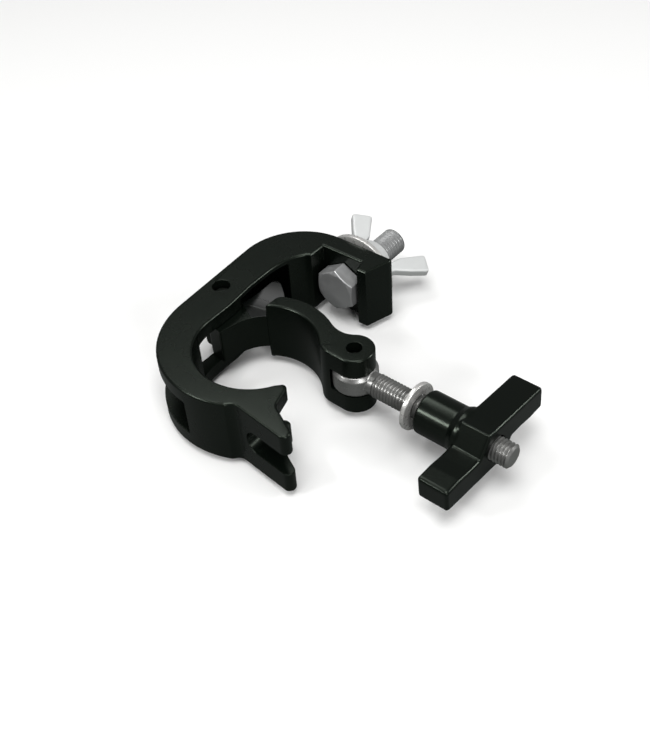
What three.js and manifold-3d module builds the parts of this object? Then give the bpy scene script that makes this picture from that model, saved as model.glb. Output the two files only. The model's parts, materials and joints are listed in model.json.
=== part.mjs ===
// Pipe clamp for hanging stage lights: a hooked body closes on a round tube together with a
// swinging arm, an eyebolt with a T-handle pulls the two together, and an M12 bolt with a wing
// nut holds the lamp's yoke. Millimetres, +Z up, the clamp lying on its side as on a bench.
import * as THREE from 'three';
import { mergeVertices } from 'three/addons/utils/BufferGeometryUtils.js';
import Module from 'manifold-3d';

// Sizes that drive the others.
const TUBE_D = 48.3; // tube the clamp is made for
const BODY_W = 30; // body across the clamp, the way the tube runs
const PLATE_T = 8.8; // seat plate under the wing nut
const PIVOT_R = 3.5; // pin the arm swings on
const EAR_PIN_R = 2.9; // pin the eyebolt swings on
const EYE_W = 9.6; // eyebolt's eye between its two flats
const EYEBOLT_R = 5; // M10
const EYEBOLT_L = 73.8; // from the eye's centre to the tip
const BOLT_R = 6; // M12
const BOLT_AF = 18; // across the flats of the M12 head
const BOLT_L = 37.1; // under the head
const HANDLE_L = 61.6; // T-handle's bar, end to end

// Clearances.
const GAP = 0.3; // between faces that rest on each other, and round each pin
const BORE_GAP = 0.5; // round the M12 bolt
const EYE_GAP = 0.4; // each side of the eye

// Sizes that follow.
const K = TUBE_D / 48.3; // the outlines grow with the tube, the screws and pins don't
const MID = BODY_W / 2;
const SEAT_R = TUBE_D / 2 + 0.45;
const ARM_W = BODY_W - 2;
const TONGUE_W = BODY_W - 13.6;
const HEEL_W = BODY_W - 5.6;
const BACK_SLOT = TONGUE_W + 2 * GAP;
const FORK_SLOT = 2 * EYEBOLT_R + 0.5;
const NECK_R = EYEBOLT_R - 0.3; // plain neck between the eye and the thread
const EAR_SLOT = Math.max(EYE_W, 2 * NECK_R) + 2 * EYE_GAP;
const EYE_R = EAR_PIN_R + 6.4;
const EAR_R = EAR_PIN_R + 5.3;
const HEAD_H = 7.5;
const PLATE_IN = HEAD_H + GAP;
const PLATE_OUT = PLATE_IN + PLATE_T;
const LIP_X = BOLT_AF / 2 + GAP;
const BEVEL = 0.7;
const SEAT = [6.9 * K, -57.4 * K]; // tube's centre
const BEND = [3.6 * K, -54.4 * K]; // centre of the bend's outer arc
const BEND_R = 38.7 * K;
const PIVOT = [-29 * K, -38 * K];
const EAR = [39.2 * K, -36.1 * K];
const EYEBOLT_YAW = -0.03;
const HANDLE_ROLL = 0.068;

const wasm = await Module();
wasm.setup();

// A closed mesh as a solid that can be joined and cut.
function solid(geometry) {
  const bare = geometry.clone();
  bare.deleteAttribute('normal');
  bare.deleteAttribute('uv');
  const merged = mergeVertices(bare, 1e-4);
  return new wasm.Manifold(new wasm.Mesh({
    numProp: 3,
    vertProperties: new Float32Array(merged.getAttribute('position').array),
    triVerts: new Uint32Array(merged.index.array),
  }));
}

function geometryOf(made) {
  const mesh = made.getMesh();
  const geometry = new THREE.BufferGeometry();
  geometry.setAttribute('position', new THREE.BufferAttribute(new Float32Array(mesh.vertProperties), 3));
  geometry.setIndex(new THREE.BufferAttribute(new Uint32Array(mesh.triVerts), 1));
  geometry.computeVertexNormals();
  return geometry;
}

// An outline in the XY plane as a slab of this width, centred on the clamp's middle plane.
function slab(shape, width, bevel = 0, curveSegments = 12) {
  const geometry = new THREE.ExtrudeGeometry(shape, {
    depth: width - 2 * bevel,
    bevelEnabled: bevel > 0,
    bevelSize: bevel,
    bevelThickness: bevel,
    bevelOffset: -bevel,
    bevelSegments: 1,
    curveSegments,
  });
  geometry.translate(0, 0, MID - width / 2 + bevel);
  return geometry;
}

function box(x0, x1, y0, y1, z0, z1) {
  const geometry = new THREE.BoxGeometry(x1 - x0, y1 - y0, z1 - z0);
  geometry.translate((x0 + x1) / 2, (y0 + y1) / 2, (z0 + z1) / 2);
  return solid(geometry);
}

// Cylinders along Z round a point of the outline, and along Y on the bolt's axis.
function upright(radius, width, [x, y], segments = 48) {
  const geometry = new THREE.CylinderGeometry(radius, radius, width, segments);
  geometry.rotateX(Math.PI / 2);
  geometry.translate(x, y, MID);
  return geometry;
}

function crosswise(radius, y0, y1, segments = 48) {
  const geometry = new THREE.CylinderGeometry(radius, radius, y1 - y0, segments);
  geometry.translate(0, (y0 + y1) / 2, MID);
  return geometry;
}

// A turned piece about Y from [radius, height] corners that go up its outside.
function turned(corners, segments = 48) {
  return new THREE.LatheGeometry(corners.map(([r, y]) => new THREE.Vector2(r, y)), segments);
}

function shapeOf(points) {
  return new THREE.Shape(points.map(([x, y]) => new THREE.Vector2(x * K, y * K)));
}

// ---- Body: one thick hook, from the lip beside the bolt head round to the forked tail ----

function bodyOutline() {
  const shoulderR = 28.2 * K;
  const shoulder = [-9.1 * K, PLATE_OUT - shoulderR];
  // Angle of the straight back, the line that touches the shoulder's and the bend's arcs.
  const across = Math.hypot(BEND[0] - shoulder[0], BEND[1] - shoulder[1]);
  const along = Math.atan2(BEND[1] - shoulder[1], BEND[0] - shoulder[0]);
  const back = along - Math.acos((shoulderR - BEND_R) / across) + 2 * Math.PI;
  const s = new THREE.Shape();
  s.moveTo(LIP_X + 5.9, PLATE_IN - 5.1);
  s.lineTo(LIP_X + 9.2, PLATE_OUT - 3.7);
  s.quadraticCurveTo(LIP_X + 10.8, PLATE_OUT, LIP_X + 8.6, PLATE_OUT);
  s.absarc(shoulder[0], shoulder[1], shoulderR, Math.PI / 2, back, false);
  s.absarc(BEND[0], BEND[1], BEND_R, back, 1.635 * Math.PI, false);
  s.quadraticCurveTo(21.3 * K, -87.2 * K, 23.5 * K, -87 * K);
  s.absarc(46.6 * K, -87.25 * K, 2.6 * K, -1.69, 1.07, false);
  s.lineTo(37.2 * K, -79.4 * K);
  s.quadraticCurveTo(35.7 * K, -78.6 * K, 35.1 * K, -77.2 * K);
  s.lineTo(33.1 * K, -70.3 * K);
  s.quadraticCurveTo(32.3 * K, -67.4 * K, 30 * K, -68.2 * K);
  s.absarc(SEAT[0], SEAT[1], SEAT_R, -0.56, -Math.PI, true);
  s.lineTo(-17.6 * K, -45 * K);
  s.lineTo(-19.1 * K, -30 * K);
  s.lineTo(-19.1 * K, -19.5 * K);
  s.quadraticCurveTo(-19.1 * K, -8.5 * K, -13.2 * K, -1.4 * K);
  s.lineTo(-LIP_X - 2.1, -0.4);
  s.lineTo(-LIP_X - 2.1, PLATE_IN);
  s.lineTo(LIP_X, PLATE_IN);
  s.lineTo(LIP_X + 1.4, PLATE_IN - 5.3);
  s.closePath();
  return s;
}

// Slot milled through the back from outside: the arm's tongue sits in it, and its floor runs
// out on the bend.
const backSlot = solid(slab(shapeOf([
  [-60, -29.5], [-60, -110], [1, -110], [1, -91.6], [-13, -74.8], [-18.6, -66], [-12, -66], [-12, -29.5],
]), BACK_SLOT));

// Pocket the arm's heel swings into as the clamp opens.
const heelPocket = solid(upright(31.5 * K, HEEL_W + 0.8, PIVOT, 96))
  .intersect(box(-33.5 * K, -12 * K, -34 * K, 0, 0, BODY_W))
  .add(box(-22.5 * K, -12 * K, -38.5 * K, -33.5 * K, MID - HEEL_W / 2 - 0.4, MID + HEEL_W / 2 + 0.4));

// The lower cheek is cut back below the pivot.
const cheekRelief = box(-60 * K, -23.5 * K, -64 * K, -45 * K, -1, MID);

// Fork the eyebolt drops into, round at its inner end.
function forkSlot() {
  const r = FORK_SLOT / 2;
  const s = new THREE.Shape();
  s.moveTo(80 * K, -r);
  s.lineTo(80 * K, r);
  s.absarc(27 * K + r, 0, r, Math.PI / 2, 1.5 * Math.PI, false);
  s.closePath();
  const geometry = new THREE.ExtrudeGeometry(s, { depth: 40 * K, bevelEnabled: false, curveSegments: 12 });
  geometry.rotateX(Math.PI / 2);
  geometry.translate(0, -60 * K, MID);
  return solid(geometry);
}

const body = solid(slab(bodyOutline(), BODY_W, BEVEL, 14))
  .subtract(backSlot)
  .subtract(heelPocket)
  .subtract(cheekRelief)
  .subtract(forkSlot())
  .subtract(box(29 * K, 39 * K, -78.4 * K, -60 * K, MID, MID + FORK_SLOT / 2 + 3))
  .subtract(solid(upright(PIVOT_R + GAP, BODY_W + 2, PIVOT, 40)))
  .subtract(solid(crosswise(BOLT_R + BORE_GAP, 0, PLATE_OUT + 2)));

// ---- Swing arm: wide jaw with two ears, a tongue in the body's slot, and a heel ----

function jawOutline() {
  const s = new THREE.Shape();
  s.absarc(SEAT[0], SEAT[1], SEAT_R + 0.2, 2.13, 0.75, true);
  s.quadraticCurveTo(27.6 * K, -43.6 * K, 31.2 * K, -43.9 * K);
  s.absarc(EAR[0], EAR[1], EAR_R, -1.6, 2.12, false);
  const back = SEAT_R + 7.6;
  s.quadraticCurveTo(29.3 * K, -33 * K, SEAT[0] + back * Math.cos(1.08), SEAT[1] + back * Math.sin(1.08));
  s.absarc(SEAT[0], SEAT[1], back, 1.08, 1.7, false);
  s.lineTo(-3.2 * K, -27.1 * K);
  s.quadraticCurveTo(-6.2 * K, -28.4 * K, -6.2 * K, -31.5 * K);
  s.closePath();
  return s;
}

function tongueOutline() {
  const s = new THREE.Shape();
  s.moveTo(-3 * K, -32 * K);
  s.lineTo(-8 * K, -24 * K);
  s.lineTo(-15.4 * K, -22.6 * K);
  s.lineTo(-19.3 * K, -33.4 * K);
  s.absarc(PIVOT[0], PIVOT[1], PIVOT_R + 3.8, Math.PI / 4, 3.96, false);
  s.lineTo(-23.9 * K, -52.8 * K);
  s.quadraticCurveTo(-23.3 * K, -53.4 * K, -22.4 * K, -53.6 * K);
  s.lineTo(-16.2 * K, -54.8 * K);
  s.quadraticCurveTo(-15 * K, -55 * K, -14.9 * K, -54 * K);
  s.lineTo(-13.6 * K, -47.6 * K);
  s.quadraticCurveTo(-12.4 * K, -41.2 * K, -6.4 * K, -36.5 * K);
  s.closePath();
  return s;
}

function heelOutline() {
  const s = new THREE.Shape();
  s.moveTo(-4 * K, -32.8 * K);
  s.lineTo(-4 * K, -26 * K);
  s.lineTo(-5.5 * K, -25.4 * K);
  s.lineTo(-7.6 * K, -23.1 * K);
  s.lineTo(-11.6 * K, -20.3 * K);
  s.quadraticCurveTo(-14.6 * K, -18.6 * K, -15.9 * K, -21.4 * K);
  s.lineTo(-17.6 * K, -26.8 * K);
  s.lineTo(-19.3 * K, -33.4 * K);
  s.lineTo(-20 * K, -36 * K);
  s.closePath();
  return s;
}

// Wide sweep of the side cutter that thins the heel down to the tongue, one from each side.
function heelSweep(side) {
  const r = 36 * K;
  const geometry = new THREE.CylinderGeometry(r, r, 40 * K, 200);
  geometry.rotateZ(Math.PI / 2 + 0.2);
  geometry.translate(-12.6 * K, -37.2 * K, MID + side * (TONGUE_W / 2 + r));
  return solid(geometry);
}

// Heel above the tongue, cut clear of the tube.
const heel = solid(slab(heelOutline(), HEEL_W))
  .subtract(heelSweep(1))
  .subtract(heelSweep(-1))
  .subtract(solid(upright(SEAT_R, BODY_W, SEAT, 96)));

const arm = solid(slab(jawOutline(), ARM_W, 0.6, 16))
  .add(solid(slab(tongueOutline(), TONGUE_W)))
  .add(heel)
  .subtract(solid(upright(EYE_R + 0.9, EAR_SLOT, EAR, 64)))
  .subtract(solid(upright(PIVOT_R + GAP, BODY_W, PIVOT, 40)))
  .subtract(solid(upright(EAR_PIN_R + GAP, BODY_W, EAR, 40)));

// ---- Pins ----

function pin(radius, length, centre) {
  const h = length / 2;
  const geometry = turned([[0, -h], [radius - 0.4, -h], [radius, 0.4 - h], [radius, h - 0.4],
    [radius - 0.4, h], [0, h]], 40);
  geometry.rotateX(Math.PI / 2);
  geometry.translate(centre[0], centre[1], MID);
  return geometry;
}

// ---- Eyebolt and what rides on it, made along +X from the ear pin's centre ----

// Swings a piece made along +X round to the eyebolt's place.
function onEyebolt(geometry) {
  geometry.rotateZ(EYEBOLT_YAW);
  geometry.translate(EAR[0], EAR[1], MID);
  return geometry;
}

// Turned about Y with its height running along the eyebolt.
function alongEyebolt(corners, segments = 48) {
  const geometry = turned(corners, segments);
  geometry.rotateZ(-Math.PI / 2);
  return geometry;
}

function eyebolt() {
  const h = EYE_W / 2;
  const eye = turned([[0, -h], [EYE_R - 1.2, -h], [EYE_R, 1.6 - h], [EYE_R, h - 1.6], [EYE_R - 1.2, h],
    [0, h]]);
  eye.rotateX(Math.PI / 2);
  const bore = new THREE.CylinderGeometry(EAR_PIN_R + GAP, EAR_PIN_R + GAP, EYE_W + 2, 40);
  bore.rotateX(Math.PI / 2);
  const tip = EYEBOLT_L;
  const shank = alongEyebolt([[0, 5], [NECK_R, 5], [NECK_R, EYE_R + 1.7], [EYEBOLT_R, EYE_R + 2.2],
    [EYEBOLT_R, tip - 1], [EYEBOLT_R - 1, tip], [0, tip]], 40);
  return onEyebolt(geometryOf(solid(eye).add(solid(shank)).subtract(solid(bore))));
}

// Washer about Y between two heights.
function washer(inner, outer, y0, y1) {
  const e = 0.3;
  return turned([[inner, y0], [outer - e, y0], [outer, y0 + e], [outer, y1 - e], [outer - e, y1], [inner, y1],
    [inner, y0]]);
}

function eyeboltWasher() {
  const geometry = washer(EYEBOLT_R + GAP, 2 * EYEBOLT_R, 28.9, 30.9);
  geometry.rotateZ(-Math.PI / 2);
  return onEyebolt(geometry);
}

// T-handle: round stem, and a bar that is the same turned half round.
const STEM_A = 34;
const BAR_A = 53;
const HANDLE_END = 66.3;

function handle() {
  const end = HANDLE_L / 2;
  const half = (s, sign) => {
    s.lineTo(sign * end, sign * 4.2);
    s.quadraticCurveTo(sign * end, sign * 5.4, sign * (end - 1.4), sign * 5.6);
    s.lineTo(sign * 0.3, sign * 9.8);
    s.lineTo(sign * -4.1, sign * 10.7);
    s.lineTo(sign * -10.3, sign * 2.9);
    s.lineTo(sign * -16.6, sign * 3.5);
    s.lineTo(sign * -22.7, sign * 4.7);
    s.lineTo(sign * (1.6 - end), sign * 5);
    s.quadraticCurveTo(sign * -end, sign * 5, sign * -end, sign * 3.6);
  };
  const outline = new THREE.Shape();
  outline.moveTo(end, -3.6);
  half(outline, 1);
  half(outline, -1);
  const bar = new THREE.ExtrudeGeometry(outline, {
    depth: HANDLE_END - BAR_A - 1.6,
    bevelEnabled: true,
    bevelSize: 0.8,
    bevelThickness: 0.8,
    bevelOffset: -0.8,
    bevelSegments: 1,
    curveSegments: 5,
  });
  bar.translate(0, 0, BAR_A + 0.8);
  bar.applyMatrix4(new THREE.Matrix4().makeBasis(
    new THREE.Vector3(0, 1, 0), new THREE.Vector3(0, 0, 1), new THREE.Vector3(1, 0, 0)));
  const stem = alongEyebolt([[0, STEM_A], [8.1, STEM_A], [9, STEM_A + 0.9], [9, BAR_A - 3.5], [10.2, BAR_A - 1],
    [10.2, BAR_A + 1], [0, BAR_A + 1]]);
  const bore = alongEyebolt([[0, STEM_A - 1], [EYEBOLT_R + GAP, STEM_A - 1], [EYEBOLT_R + GAP, HANDLE_END + 1],
    [0, HANDLE_END + 1]], 40);
  const made = geometryOf(solid(bar).add(solid(stem)).subtract(solid(bore)));
  made.rotateX(HANDLE_ROLL);
  return onEyebolt(made);
}

// ---- M12 bolt, its washer and wing nut, along +Y from the head's outer face ----

function mountingBolt() {
  const corner = BOLT_AF / Math.sqrt(3);
  const head = new THREE.CylinderGeometry(corner, corner, HEAD_H, 6);
  head.translate(0, HEAD_H / 2, 0);
  const rounding = turned([[0, 0], [BOLT_AF / 2 - 0.5, 0], [corner + 0.3, 1.1], [corner + 0.3, HEAD_H], [0, HEAD_H]]);
  const end = HEAD_H + BOLT_L;
  const shank = turned([[0, HEAD_H - 1], [BOLT_R, HEAD_H - 1], [BOLT_R, end - 1], [BOLT_R - 1, end], [0, end]]);
  const made = solid(head).intersect(solid(rounding)).add(solid(shank));
  return geometryOf(made).translate(0, 0, MID);
}

const WASHER_Y = PLATE_OUT + GAP;
const WASHER_T = 2.2;
const NUT_Y = WASHER_Y + WASHER_T + GAP;

function wingNut() {
  const bore = BOLT_R + GAP;
  const hub = turned([[0, NUT_Y], [bore + 5.2, NUT_Y], [bore + 5.4, NUT_Y + 1], [bore + 2.2, NUT_Y + 10],
    [0, NUT_Y + 10]]);
  const wing = new THREE.Shape();
  wing.moveTo(3, NUT_Y + 3);
  wing.lineTo(bore + 3, NUT_Y + 3.5);
  wing.lineTo(bore + 5.7, NUT_Y + 9.5);
  wing.lineTo(bore + 10.7, NUT_Y + 14.5);
  wing.lineTo(bore + 15.4, NUT_Y + 20);
  wing.quadraticCurveTo(bore + 16.2, NUT_Y + 21.2, bore + 15, NUT_Y + 22);
  wing.lineTo(bore + 10.2, NUT_Y + 26);
  wing.quadraticCurveTo(bore + 8.9, NUT_Y + 27, bore + 8, NUT_Y + 25.6);
  wing.lineTo(bore + 2.2, NUT_Y + 16.5);
  wing.lineTo(bore + 0.9, NUT_Y + 9.8);
  wing.lineTo(3, NUT_Y + 9.8);
  wing.closePath();
  const wings = new THREE.ExtrudeGeometry(wing, {
    depth: 3,
    bevelEnabled: true,
    bevelSize: 0.6,
    bevelThickness: 0.6,
    bevelOffset: -0.6,
    bevelSegments: 1,
    curveSegments: 4,
  });
  wings.translate(0, 0, -1.5);
  const other = wings.clone().rotateY(Math.PI);
  const hole = turned([[0, NUT_Y - 1], [bore, NUT_Y - 1], [bore, NUT_Y + 30], [0, NUT_Y + 30]], 40);
  const made = solid(hub).add(solid(wings)).add(solid(other)).subtract(solid(hole));
  return geometryOf(made).rotateY(0.33).translate(0, 0, MID);
}

// ---- Named pieces ----

function piece(name, geometry, colour, roughness, metalness) {
  const material = new THREE.MeshStandardMaterial({ color: colour, roughness, metalness });
  const mesh = new THREE.Mesh(geometry, material);
  mesh.name = name;
  return mesh;
}

const group = new THREE.Group();
group.add(
  piece('body', geometryOf(body), 0x161817, 0.42, 0.1),
  piece('swing_arm', geometryOf(arm), 0x171918, 0.4, 0.1),
  piece('arm_pivot_pin', pin(PIVOT_R, BODY_W - 7, PIVOT), 0x1c1d1d, 0.5, 0.6),
  piece('eyebolt_pin', pin(EAR_PIN_R, ARM_W - 9, EAR), 0x1c1d1d, 0.5, 0.6),
  piece('eyebolt', eyebolt(), 0xb3b2ae, 0.36, 1),
  piece('eyebolt_washer', eyeboltWasher(), 0xc6c5c1, 0.32, 1),
  piece('t_handle', handle(), 0x131514, 0.34, 0.1),
  piece('mounting_bolt', mountingBolt(), 0xa9aaaa, 0.38, 1),
  piece('bolt_washer', washer(BOLT_R + BORE_GAP, 17.4, WASHER_Y, WASHER_Y + WASHER_T).translate(0, 0, MID),
    0xc2c3c2, 0.34, 1),
  piece('wing_nut', wingNut(), 0xc9cbca, 0.5, 1),
);

// The frame's origin is the bottom centre of the whole clamp's box.
const whole = new THREE.Box3().setFromObject(group);
const centre = whole.getCenter(new THREE.Vector3());
for (const mesh of group.children) mesh.geometry.translate(-centre.x, -centre.y, -whole.min.z);

export default group;
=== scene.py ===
# %% [markdown]
# # A pipe clamp for stage lights
# This clamp hangs a lamp from a round tube. A hooked body and a swinging arm close on the tube, an
# eyebolt with a T-handle pulls them together, and a bolt with a wing nut holds the lamp's yoke. The
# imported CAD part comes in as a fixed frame. Each of its nodes is then replaced by a finer piece that
# rides on the same body, so the clamp still swings and screws as the frame does.

# %% Start
import json
import math

import bpy
from mathutils import Matrix, Quaternion, Vector

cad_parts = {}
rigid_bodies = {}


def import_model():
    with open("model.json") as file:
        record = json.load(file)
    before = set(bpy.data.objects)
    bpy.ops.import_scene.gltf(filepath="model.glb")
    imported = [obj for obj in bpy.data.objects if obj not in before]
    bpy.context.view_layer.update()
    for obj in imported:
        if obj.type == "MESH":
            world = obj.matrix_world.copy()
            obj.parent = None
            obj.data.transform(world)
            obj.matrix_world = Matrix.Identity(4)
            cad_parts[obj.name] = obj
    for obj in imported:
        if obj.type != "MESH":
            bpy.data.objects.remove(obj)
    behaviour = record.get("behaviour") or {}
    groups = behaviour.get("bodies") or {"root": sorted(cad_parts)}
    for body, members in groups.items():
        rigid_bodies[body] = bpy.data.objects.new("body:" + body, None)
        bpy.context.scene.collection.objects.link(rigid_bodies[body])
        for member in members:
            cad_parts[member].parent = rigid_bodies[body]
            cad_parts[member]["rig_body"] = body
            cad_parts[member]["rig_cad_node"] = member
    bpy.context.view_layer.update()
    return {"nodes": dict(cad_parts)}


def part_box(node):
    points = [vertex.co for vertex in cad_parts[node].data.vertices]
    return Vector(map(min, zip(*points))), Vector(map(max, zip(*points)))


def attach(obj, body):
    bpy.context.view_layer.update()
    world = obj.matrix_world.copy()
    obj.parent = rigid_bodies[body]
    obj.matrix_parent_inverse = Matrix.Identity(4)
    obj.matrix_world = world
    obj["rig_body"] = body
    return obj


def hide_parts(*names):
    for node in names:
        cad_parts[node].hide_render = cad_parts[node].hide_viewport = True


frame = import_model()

MM = 0.001

# %% [markdown]
# ## Places read from the frame
# Later pieces are put where the frame's own pins and bolt are, so that they follow if those move.
# The screws are metric: M10 for the eyebolt and M12 for the bolt that holds the yoke.

# %% Places
def middle(node):
    low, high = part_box(node)
    return (low + high) / 2


PIVOT = middle("arm_pivot_pin")
EAR = middle("eyebolt_pin")
BOLT = middle("mounting_bolt")
HEAD_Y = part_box("mounting_bolt")[0].y
BOLT_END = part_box("mounting_bolt")[1].y
EYEBOLT_YAW = -0.03
ALONG = Vector((math.cos(EYEBOLT_YAW), math.sin(EYEBOLT_YAW), 0))
# In millimetres: each screw's radius, pitch, and where its thread starts and ends along it.
M10 = {"major": 5, "pitch": 1.5, "start": 11, "end": 73.8}
M12 = {"major": 6, "pitch": 1.75, "start": 9.5, "end": (BOLT_END - HEAD_Y) / MM}
print("ear pin at", [round(v / MM, 2) for v in EAR], "mm")

# %% [markdown]
# ## Small tools for modelling
# A copy of a CAD node is loose triangles, so `clean` merges it, joins flat triangles into whole
# faces and cuts those into even triangles again. That last cut matters: a bevel on one big hollow
# face can be filled wrongly. `soften` rounds the edges that are left, and weights the normals by
# face size so that flat faces stay flat.

# %% Modelling helpers
def only(o):
    bpy.ops.object.select_all(action="DESELECT")
    bpy.context.view_layer.objects.active = o
    o.select_set(True)
    return o


def apply_all(o):
    only(o)
    for m in list(o.modifiers):
        bpy.ops.object.modifier_apply(modifier=m.name)
    return o


def edit(o, *steps):
    only(o)
    bpy.ops.object.mode_set(mode="EDIT")
    bpy.ops.mesh.select_mode(type="VERT")
    bpy.ops.mesh.select_all(action="SELECT")
    for step in steps:
        step()
    bpy.ops.object.mode_set(mode="OBJECT")
    return o


def copy_node(node, name):
    only(frame["nodes"][node])
    bpy.ops.object.duplicate()
    o = bpy.context.object
    o.name = name
    o.parent = None
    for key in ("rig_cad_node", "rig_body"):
        if key in o:
            del o[key]
    o.data.materials.clear()
    return o


def clean(o, angle=0.6):
    return edit(
        o,
        lambda: bpy.ops.mesh.remove_doubles(threshold=2e-6),
        lambda: bpy.ops.mesh.dissolve_degenerate(threshold=2e-6),
        lambda: bpy.ops.mesh.dissolve_limited(angle_limit=math.radians(angle)),
        lambda: bpy.ops.mesh.quads_convert_to_tris(quad_method="BEAUTY", ngon_method="BEAUTY"),
    )


def soften(o, width, segments=2, angle=28, shade=30):
    m = o.modifiers.new("edge", "BEVEL")
    m.width, m.segments, m.limit_method = width * MM, segments, "ANGLE"
    m.angle_limit = math.radians(angle)
    m.use_clamp_overlap = False
    m.miter_outer = "MITER_ARC"
    apply_all(o)
    bpy.ops.object.shade_smooth_by_angle(angle=math.radians(shade))
    w = o.modifiers.new("flat faces stay flat", "WEIGHTED_NORMAL")
    w.weight, w.keep_sharp = 100, True
    apply_all(o)
    return o


def done(o, body, slot, *nodes):
    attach(o, body)
    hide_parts(*nodes)
    print(o.name, "faces", len(o.data.polygons))
    return o


print("tools ready")

# %% [markdown]
# ## Materials
# The real clamp is powder-coated aluminium with zinc-plated steel hardware. Colours are sRGB hex
# turned linear by one function. Patterns sit on object coordinates, so they stay put as the pieces
# move. The coat is almost all reflection, so its look depends on the lights more than its colour.

# %% Material helpers
def linear(hex_colour):
    parts = [int(hex_colour[i : i + 2], 16) / 255 for i in (0, 2, 4)]
    return [c / 12.92 if c <= 0.04045 else ((c + 0.055) / 1.055) ** 2.4 for c in parts] + [1]


def add(tree, kind, settings=None, **inputs):
    node = tree.nodes.new(kind)
    for key, value in (settings or {}).items():
        setattr(node, key, value)
    for key, value in inputs.items():
        socket = node.inputs[key.replace("_", " ")]
        if isinstance(value, bpy.types.NodeSocket):
            tree.links.new(value, socket)
        else:
            socket.default_value = value
    return node


def shader(name, colour, metallic, roughness):
    m = bpy.data.materials.new(name)
    m.use_nodes = True
    s = m.node_tree.nodes["Principled BSDF"]
    s.inputs["Base Color"].default_value = linear(colour)
    s.inputs["Metallic"].default_value = metallic
    s.inputs["Roughness"].default_value = roughness
    return m, m.node_tree, s


def vary(tree, s, scale, low, high):
    # Soft patches of roughness between two values.
    place = add(tree, "ShaderNodeTexCoord").outputs["Object"]
    noise = add(tree, "ShaderNodeTexNoise", Vector=place, Scale=scale, Detail=3.0)
    ramp = add(tree, "ShaderNodeMapRange", Value=noise.outputs["Fac"], From_Min=0.3, From_Max=0.7,
               To_Min=low, To_Max=high)
    tree.links.new(ramp.outputs["Result"], s.inputs["Roughness"])
    return noise


def bump(tree, s, height, strength, distance):
    made = add(tree, "ShaderNodeBump", Strength=strength, Distance=distance * MM, Height=height)
    tree.links.new(made.outputs["Normal"], s.inputs["Normal"])


# %% Finishes
COAT_SPECULAR = 0.34


def coat(name, colour, roughness):
    # Baked powder coat: nearly black with a green cast in its shine, and a faint orange peel.
    m, tree, s = shader(name, colour, 0, roughness)
    vary(tree, s, 60, roughness - 0.012, roughness + 0.015)
    place = add(tree, "ShaderNodeTexCoord").outputs["Object"]
    peel = add(tree, "ShaderNodeTexNoise", Vector=place, Scale=1300.0, Detail=2.0)
    bump(tree, s, peel.outputs["Fac"], 0.12, 0.012)
    s.inputs["Specular IOR Level"].default_value = COAT_SPECULAR
    s.inputs["Specular Tint"].default_value = (0.86, 1, 0.84, 1)
    return m


def zinc(name, colour, low, high, metallic=0.8):
    # Zinc plate over steel, grained every 2 mm. Dull plate scatters light, so it is partly metallic.
    m, tree, s = shader(name, colour, metallic, (low + high) / 2)
    noise = vary(tree, s, 500, low, high)
    bump(tree, s, noise.outputs["Fac"], 0.12, 0.015)
    return m


def cast(name, colour):
    # Die-cast zinc: pale, dull and fine grained, so mostly a scattering surface.
    m, tree, s = shader(name, colour, 0.35, 0.5)
    noise = vary(tree, s, 900, 0.42, 0.6)
    bump(tree, s, noise.outputs["Fac"], 0.3, 0.03)
    return m


def milled(name, colour):
    # Coat over the arcs a side cutter leaves, ruled along X.
    m, tree, s = shader(name, colour, 0, 0.3)
    place = add(tree, "ShaderNodeTexCoord").outputs["Object"]
    mapped = add(tree, "ShaderNodeMapping", Vector=place, Scale=(20, 1500, 1500)).outputs["Vector"]
    lines = add(tree, "ShaderNodeTexNoise", Vector=mapped, Scale=1.0, Detail=1.0)
    bump(tree, s, lines.outputs["Fac"], 0.4, 0.06)
    s.inputs["Specular IOR Level"].default_value = COAT_SPECULAR
    return m


BODY_COAT = coat("black_powder_coat", "060a07", 0.27)
ARM_COAT = coat("black_powder_coat_arm", "050906", 0.26)
HANDLE_COAT = coat("black_powder_coat_handle", "050806", 0.24)
MILLED = milled("milled_under_coat", "070a08")
PIN = coat("black_oxide_pin", "050505", 0.45)
EYEBOLT_ZINC = zinc("zinc_rolled_eyebolt", "9c9c9a", 0.26, 0.4)
BOLT_ZINC = zinc("zinc_rolled_bolt", "b2b3b3", 0.28, 0.5, metallic=0.65)
WASHER_ZINC = zinc("zinc_stamped_washer", "dad9d6", 0.24, 0.36, metallic=0.6)
NUT_CAST = cast("zinc_die_cast_nut", "dcdedd")
# Near-black painted shade for the thread grooves, not a finish of the real screw.
THREAD_GROOVE_SHADE = zinc("painted_shade_thread_groove", "0e0e0e", 0.4, 0.6)
print(len(bpy.data.materials), "materials")


def paint(o, *materials):
    for m in materials:
        o.data.materials.append(m)
    return o


# %% [markdown]
# ## Body
# The real body is one thick hook with its edges broken by a narrow round, which catches the light.
# It could be drawn again as a profile, but the node already has every slot and pocket, so a copy of
# it is cleaned and bevelled.

# %% Body
body = soften(clean(copy_node("body", "hook")), 0.28, 2)
paint(body, BODY_COAT)
done(body, "clamp_body", "body_coat", "body")

# %% [markdown]
# ## Swing arm
# The jaw's edges are rounded the same way. A side cutter thins the heel, and its fine lines show
# through the coat, so the swept faces get a second material. They are picked by place and normal.

# %% Swing arm
arm = soften(clean(copy_node("swing_arm", "jaw")), 0.22, 2)
paint(arm, ARM_COAT, MILLED)
HEEL_X = (PIVOT.x + 9 * MM, PIVOT.x + 23.2 * MM)
HEEL_Y = (PIVOT.y - 1 * MM, PIVOT.y + 18 * MM)
TONGUE_HALF = 8 * MM
for face in arm.data.polygons:
    c = face.center
    on_heel = HEEL_X[0] < c.x < HEEL_X[1] and HEEL_Y[0] < c.y < HEEL_Y[1]
    if on_heel and abs(face.normal.z) > 0.5 and abs(c.z - PIVOT.z) > TONGUE_HALF:
        face.material_index = 1
done(arm, "arm", "arm_coat", "swing_arm")

# %% [markdown]
# ## Pins
# Both are short turned pins, blackened and sunk in their holes, so only a dark end shows. A copy of
# the node with its chamfer rounded is enough.

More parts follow.
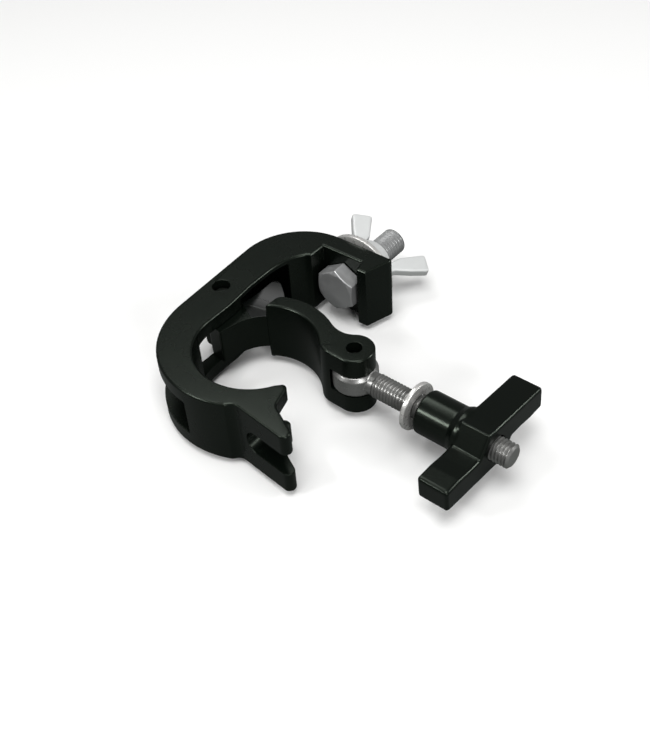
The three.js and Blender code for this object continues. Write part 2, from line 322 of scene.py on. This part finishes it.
# %% Pins
for node, name, owner in (("arm_pivot_pin", "pivot_pin", "clamp_body"),
                          ("eyebolt_pin", "ear_pin", "arm")):
    pin = soften(clean(copy_node(node, name)), 0.15, 2)
    paint(pin, PIN)
    done(pin, owner, "pin_steel", node)

# %% [markdown]
# ## Screw threads
# Rolled threads have flat crests, and their grooves get a near-black material as painted shade. Bump
# could fake them, but the crests show on the outline, so they are real. One pitch of profile is drawn
# as a strip of edges and swept up and round by a Screw modifier. Bisects trim both ends, and a core
# with a coned end closes it.

# %% Screw threads
def profile(points):
    bpy.ops.mesh.primitive_plane_add(size=1 * MM, location=(0, 0, 0))
    o = bpy.context.object
    bpy.ops.object.mode_set(mode="EDIT")
    bpy.ops.mesh.select_all(action="SELECT")
    bpy.ops.mesh.merge(type="CENTER")
    bpy.ops.transform.translate(value=(points[0][0] * MM, 0, points[0][1] * MM))
    for a, b in zip(points, points[1:]):
        bpy.ops.mesh.extrude_region_move(
            TRANSFORM_OT_translate={"value": ((b[0] - a[0]) * MM, 0, (b[1] - a[1]) * MM)})
    bpy.ops.object.mode_set(mode="OBJECT")
    return o


def thread(name, major, pitch, start, end):
    root = major - 0.6 * pitch
    turns = int((end - start) / pitch) + 3
    o = profile([(root, 0), (root, 0.12 * pitch), (major - 0.06 * pitch, 0.47 * pitch),
                 (major, 0.5 * pitch), (major, 0.58 * pitch), (major - 0.06 * pitch, 0.61 * pitch),
                 (root, 0.96 * pitch), (root, pitch)])
    o.name = name
    m = o.modifiers.new("helix", "SCREW")
    m.axis, m.angle, m.screw_offset = "Z", 2 * math.pi, pitch * MM
    m.steps = m.render_steps = 40
    m.iterations = turns
    m.use_merge_vertices, m.merge_threshold = True, 1e-7
    apply_all(o)

    def cut(z, inner, outer):
        bpy.ops.mesh.bisect(plane_co=(0, 0, z * MM), plane_no=(0, 0, 1),
                            clear_inner=inner, clear_outer=outer, use_fill=False)

    edit(
        o,
        lambda: bpy.ops.mesh.remove_doubles(threshold=1e-7),
        lambda: bpy.ops.transform.translate(value=(0, 0, (start - 1.5 * pitch) * MM)),
        lambda: cut(start, True, False),
        lambda: bpy.ops.mesh.select_all(action="SELECT"),
        lambda: cut(end - 0.9, False, True),
        lambda: bpy.ops.mesh.select_all(action="SELECT"),
        lambda: bpy.ops.mesh.normals_make_consistent(inside=False),
    )
    bpy.ops.object.shade_smooth_by_angle(angle=math.radians(24))
    # Painted shade: faces deeper than a third of a pitch below the crest get the near-black groove
    # material.
    painted_shade_radius = (major - 0.36 * pitch) * MM
    for face in o.data.polygons:
        face.material_index = int(math.hypot(face.center.x, face.center.y) < painted_shade_radius)
    # The core: a plain rod just inside the thread's root, with a coned end.
    bpy.ops.mesh.primitive_cylinder_add(
        vertices=64, radius=(root - 0.04) * MM, depth=(end - start) * MM,
        location=(0, 0, (start + end) / 2 * MM))
    core = bpy.context.object
    bpy.ops.object.transform_apply(location=True, rotation=True, scale=True)
    soften(core, 0.6, 3, 60)
    # A disc of the thread's full width closes its trimmed end with a coned face.
    bpy.ops.mesh.primitive_cone_add(
        vertices=64, radius1=(major - 0.05) * MM, radius2=(root - 0.1) * MM, depth=0.8 * MM,
        location=(0, 0, (end - 0.55) * MM))
    cone = bpy.context.object
    bpy.ops.object.transform_apply(location=True, rotation=True, scale=True)
    bpy.ops.object.shade_smooth_by_angle(angle=math.radians(30))
    only(o)
    core.select_set(True)
    cone.select_set(True)
    bpy.ops.object.join()
    return o


def placed(o, matrix):
    o.matrix_world = matrix
    only(o)
    bpy.ops.object.transform_apply(location=True, rotation=True, scale=True)
    return o


EYEBOLT_FRAME = Matrix.Translation(EAR) @ ALONG.to_track_quat("Z", "Y").to_matrix().to_4x4()
BOLT_FRAME = Matrix.Translation((BOLT.x, HEAD_Y, BOLT.z)) @ Matrix.Rotation(-math.pi / 2, 4, "X")
eye_thread = placed(thread("eyebolt_thread", **M10), EYEBOLT_FRAME)
# The second material is painted shade in the thread grooves.
paint(eye_thread, EYEBOLT_ZINC, THREAD_GROOVE_SHADE)
bolt_thread = placed(thread("bolt_thread", **M12), BOLT_FRAME)
paint(bolt_thread, BOLT_ZINC, THREAD_GROOVE_SHADE)
print("threads", len(eye_thread.data.polygons), len(bolt_thread.data.polygons))

# %% [markdown]
# ## Eyebolt and mounting bolt
# The forged eye and the hex head are the node's own shape, cut off just past where the thread
# starts, with their edges rounded. The thread stays a piece of its own on the same body.

# %% Eyebolt and mounting bolt
def keep_side(o, point, normal):
    return edit(o, lambda: bpy.ops.mesh.bisect(
        plane_co=point, plane_no=normal, clear_outer=True, use_fill=True))


NECK_END = 11.2 * MM
HEAD_END = 9.6 * MM
eye = keep_side(clean(copy_node("eyebolt", "eyebolt_forged")), EAR + ALONG * NECK_END, ALONG)
soften(eye, 0.35, 3)
paint(eye, EYEBOLT_ZINC)
done(eye, "eyebolt", "eyebolt_steel", "eyebolt")
done(eye_thread, "eyebolt", "eyebolt_steel")

head = clean(copy_node("mounting_bolt", "bolt_head"))
keep_side(head, (BOLT.x, HEAD_Y + HEAD_END, BOLT.z), (0, 1, 0))
soften(head, 0.3, 3)
paint(head, BOLT_ZINC)
done(head, "clamp_body", "bolt_steel", "mounting_bolt")
done(bolt_thread, "clamp_body", "bolt_steel")

# %% [markdown]
# ## Washers
# Both washers are stamped flat from sheet, with a lightly rounded edge that shows as a bright line.

# %% Washers
for node, name, owner in (("eyebolt_washer", "screw_washer_plate", "screw_washer"),
                          ("bolt_washer", "yoke_washer_plate", "nut_washer")):
    ring = soften(clean(copy_node(node, name)), 0.25, 3, 30)
    paint(ring, WASHER_ZINC)
    done(ring, owner, "washer_steel", node)

# %% [markdown]
# ## Castings
# The wing nut and the T-handle are cast, so their corners flow together. A bevel can't blend where
# the wings meet the hub, so a fine voxel remesh and a little smoothing give those soft fillets.

# %% Castings
def cast_shape(o, voxel, rounds):
    m = o.modifiers.new("even", "REMESH")
    m.mode, m.voxel_size = "VOXEL", voxel * MM
    s = o.modifiers.new("flow", "SMOOTH")
    s.factor, s.iterations = 0.5, rounds
    apply_all(o)
    bpy.ops.object.shade_smooth()
    return o


nut = cast_shape(copy_node("wing_nut", "cast_wing_nut"), 0.26, 10)
paint(nut, NUT_CAST)
done(nut, "nut", "nut_cast", "wing_nut")

handle = cast_shape(copy_node("t_handle", "cast_handle"), 0.3, 7)
paint(handle, HANDLE_COAT)
done(handle, "handle", "handle_coat", "t_handle")

# %% [markdown]
# ## Floor, light and camera
# The camera looks down on the clamp from its front right, about 43 degrees above the floor. The
# floor looks pale to the camera but darker to the clamp, as it would with black cards round it, so
# that the upright faces stay dark. Two narrow boxes light only the rounded edges.

# %% Floor, light and camera
bpy.ops.mesh.primitive_plane_add(size=6, location=(0, 0, -0.0002))
floor = bpy.context.object
floor.name = "studio_floor"
paper, paper_tree, paper_shader = shader("pale_paper", "f7f7f6", 0, 0.9)
seen = add(paper_tree, "ShaderNodeLightPath").outputs["Is Camera Ray"]
tint = add(paper_tree, "ShaderNodeMix", {"data_type": "RGBA"})
tint.inputs[6].default_value = linear("626563")
tint.inputs[7].default_value = linear("f7f7f6")
paper_tree.links.new(seen, tint.inputs[0])
paper_tree.links.new(tint.outputs[2], paper_shader.inputs["Base Color"])
paint(floor, paper)

world = bpy.data.worlds.new("studio")
bpy.context.scene.world = world
world.use_nodes = True
world.node_tree.nodes["Background"].inputs["Color"].default_value = (1, 1, 1, 1)
world.node_tree.nodes["Background"].inputs["Strength"].default_value = 0.16


def softbox(name, place, size, watts):
    bpy.ops.object.light_add(type="AREA", location=place)
    light = bpy.context.object
    light.name = name
    light.data.shape, light.data.size, light.data.size_y = "RECTANGLE", size[0], size[1]
    light.data.energy = watts
    light.rotation_mode = "QUATERNION"
    light.rotation_quaternion = (-Vector(place)).to_track_quat("-Z", "Y")
    return light


softbox("key_back_left", (-0.5, 0.2, 0.9), (0.5, 0.3), 2)
softbox("fill_front_right", (0.9, -0.5, 0.5), (0.3, 0.3), 4)
softbox("top", (0.15, -0.25, 1.1), (0.7, 0.7), 9)
softbox("rim_front_left", (-0.5, -0.8, 0.65), (0.3, 0.12), 3)
softbox("rim_back_right", (0.8, 0.65, 0.5), (0.3, 0.12), 3)

bpy.ops.object.camera_add(location=(0.20019, -0.25332, 0.31101))
camera = bpy.context.object
camera.rotation_mode = "QUATERNION"
camera.rotation_quaternion = Quaternion((0.870110, 0.365294, 0.156072, 0.291736))
camera.data.sensor_width = 36
camera.data.lens = 52.05
camera.data.shift_x, camera.data.shift_y = -0.0019, 0.0002
camera.data.dof.use_dof = False
camera.data.clip_start, camera.data.clip_end = 0.01, 20
bpy.context.scene.camera = camera
bpy.context.scene.view_settings.view_transform = "Standard"
print("camera", [round(v, 4) for v in camera.location])
